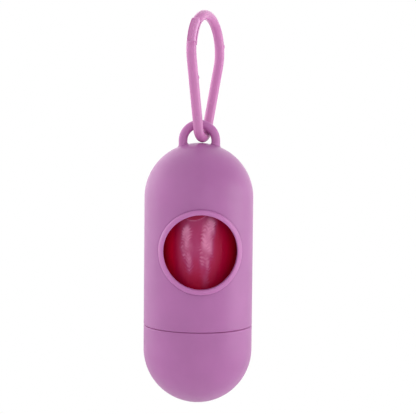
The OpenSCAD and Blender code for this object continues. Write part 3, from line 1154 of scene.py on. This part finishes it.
def card_material(name):
    """Grey-brown board with fibres."""
    material, tree, shader = principled(name)
    fibre = noise_texture(tree, 1500.0, 4.0, 0.65, (1.0, 1.0, 0.3))
    colour_out = ramp(tree, fibre, list(zip((0.3, 0.5, 0.7), CARD_COLOURS)))
    tree.links.new(colour_out, shader.inputs["Base Color"])
    rough = spread(tree, fibre, 0.8, 0.95)
    tree.links.new(rough, shader.inputs["Roughness"])
    bump(tree, shader, [(fibre, 0.5, 0.0002)])
    return material


def dress(piece, material):
    piece.data.materials.clear()
    piece.data.materials.append(material)


# The plain walls; painted light for the rim and eye; the hook; painted highlights for the hook's
# thin edges; painted light for the seam's crevice on the cap's foot
CASE_COLOUR = (0.42, 0.138, 0.372)
RIM_EYE_PAINTED_LIGHT = (0.505, 0.166, 0.430)
HOOK_COLOUR = (0.58, 0.195, 0.455)
HOOK_PAINTED_LIGHT = (0.72, 0.31, 0.60)
SEAM_PAINTED_LIGHT = (0.82, 0.14, 0.58)

case_plastic = plastic("case_plastic", CASE_COLOUR, 0.42, RIM_EYE_PAINTED_LIGHT)
cap_plastic = plastic("cap_plastic", CASE_COLOUR, 0.42, SEAM_PAINTED_LIGHT)
hook_plastic = plastic("hook_plastic", HOOK_COLOUR, 0.25, HOOK_PAINTED_LIGHT)
film = film_material("film")
wound = wound_film_material("wound_film")
card = card_material("card")

case_piece = case_shell()
dress(case_piece, case_plastic)
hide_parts("case_body")
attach(case_piece, "case")

cap_piece = cap_shell()
dress(cap_piece, cap_plastic)
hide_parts("end_cap")
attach(cap_piece, "cap")

hook_piece = hook_bar_piece()
dress(hook_piece, hook_plastic)
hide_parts("snap_hook")
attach(hook_piece, "hook")

gate_piece = gate_arm_piece()
dress(gate_piece, hook_plastic)
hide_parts("hook_gate")
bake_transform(gate_piece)

film_piece = film_wrap()
dress(film_piece, film)
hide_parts("bag_15")
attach(film_piece, "roll")

for name, cad in frame["nodes"].items():
    if name.startswith("bag_"):
        dress(cad, wound)
    elif name == "roll_core":
        dress(cad, card)


# ---------------------------------------------------------------- floor, light and background
WHITE = (1.0, 1.0, 1.0, 1.0)
FLOOR_DROP = 60.0
# Half the floor's side, in metres
FLOOR_HALF = 1.2


def split_for_camera(tree, out, lit, seen):
    """The camera sees one shader; the light on the part comes from the other."""
    path = node(tree, "ShaderNodeLightPath")
    mix = node(tree, "ShaderNodeMixShader")
    tree.links.new(path.outputs["Is Camera Ray"], mix.inputs[0])
    tree.links.new(lit.outputs[0], mix.inputs[1])
    tree.links.new(seen.outputs[0], mix.inputs[2])
    tree.links.new(mix.outputs[0], out.inputs["Surface"])


def make_floor():
    """A plain pale floor under the hanging part; the camera sees it as plain white."""
    material, tree, shader = principled("floor_paint")
    out = next(n for n in tree.nodes if n.type == "OUTPUT_MATERIAL")
    shader.inputs["Base Color"].default_value = (0.85, 0.85, 0.85, 1)
    shader.inputs["Roughness"].default_value = 0.8
    light = node(tree, "ShaderNodeEmission", Color=WHITE, Strength=1.0)
    split_for_camera(tree, out, shader, light)
    x, y, z = to_frame([0, 0, -FLOOR_DROP])
    mesh = bpy.data.meshes.new("floor")
    signs = ((-1, -1), (1, -1), (1, 1), (-1, 1))
    corners = [(x + i * FLOOR_HALF, y + j * FLOOR_HALF, z) for i, j in signs]
    mesh.from_pydata(corners, [], [(0, 1, 2, 3)])
    floor = bpy.data.objects.new("floor", mesh)
    bpy.context.scene.collection.objects.link(floor)
    dress(floor, material)


def softbox(name, azimuth, elevation, distance, width, height, radiance):
    """An area light of a given brightness, aimed at the part; azimuth 0 is in front, 90 right."""
    az, el = math.radians(azimuth), math.radians(elevation)
    towards = np.array([math.sin(az) * math.cos(el), -math.cos(az) * math.cos(el), math.sin(el)])
    data = bpy.data.lights.new(name, "AREA")
    data.shape = "RECTANGLE"
    data.size, data.size_y = width, height
    data.energy = radiance * math.pi * width * height
    lamp = bpy.data.objects.new(name, data)
    lamp.location = Vector(to_frame(TARGET) + towards * distance)
    lamp.rotation_mode = "QUATERNION"
    lamp.rotation_quaternion = Vector(towards).to_track_quat("Z", "Y")
    lamp.visible_camera = False
    bpy.context.scene.collection.objects.link(lamp)


TENT_LEVEL = 0.57
TENT_BACK = 1.08
TENT_LEFT = 0.72


def make_world():
    """White for the camera; a pale tent, brighter behind the part and on its left, for the rest."""
    world = bpy.data.worlds.new("tent")
    bpy.context.scene.world = world
    world.use_nodes = True
    tree = world.node_tree
    tree.nodes.clear()
    out = node(tree, "ShaderNodeOutputWorld")
    seen = node(tree, "ShaderNodeBackground", Color=WHITE, Strength=1.0)
    tent = node(tree, "ShaderNodeBackground", Color=WHITE, Strength=1.0)
    coordinates = node(tree, "ShaderNodeTexCoord")
    split = node(tree, "ShaderNodeSeparateXYZ")
    tree.links.new(coordinates.outputs["Generated"], split.inputs[0])
    back = math_node(tree, "MAXIMUM", split.outputs["Y"], 0.0)
    left = math_node(tree, "MULTIPLY", math_node(tree, "MINIMUM", split.outputs["X"], 0.0), -1.0)
    level = math_node(tree, "MULTIPLY_ADD", back, TENT_BACK, TENT_LEVEL)
    level = math_node(tree, "MULTIPLY_ADD", left, TENT_LEFT, level)
    tree.links.new(level, tent.inputs["Strength"])
    split_for_camera(tree, out, tent, seen)


make_floor()
make_world()
softbox("front_right", 25, 8, 0.6, 0.36, 0.18, 1.2)
softbox("wide_right", 80, 0, 0.6, 0.45, 0.50, 2.5)
softbox("side_right", 105, -12, 0.6, 0.30, 0.50, 0.36)
softbox("side_left", -110, 12, 0.6, 0.30, 0.50, 0.8)

bpy.context.scene.view_settings.view_transform = "Standard"
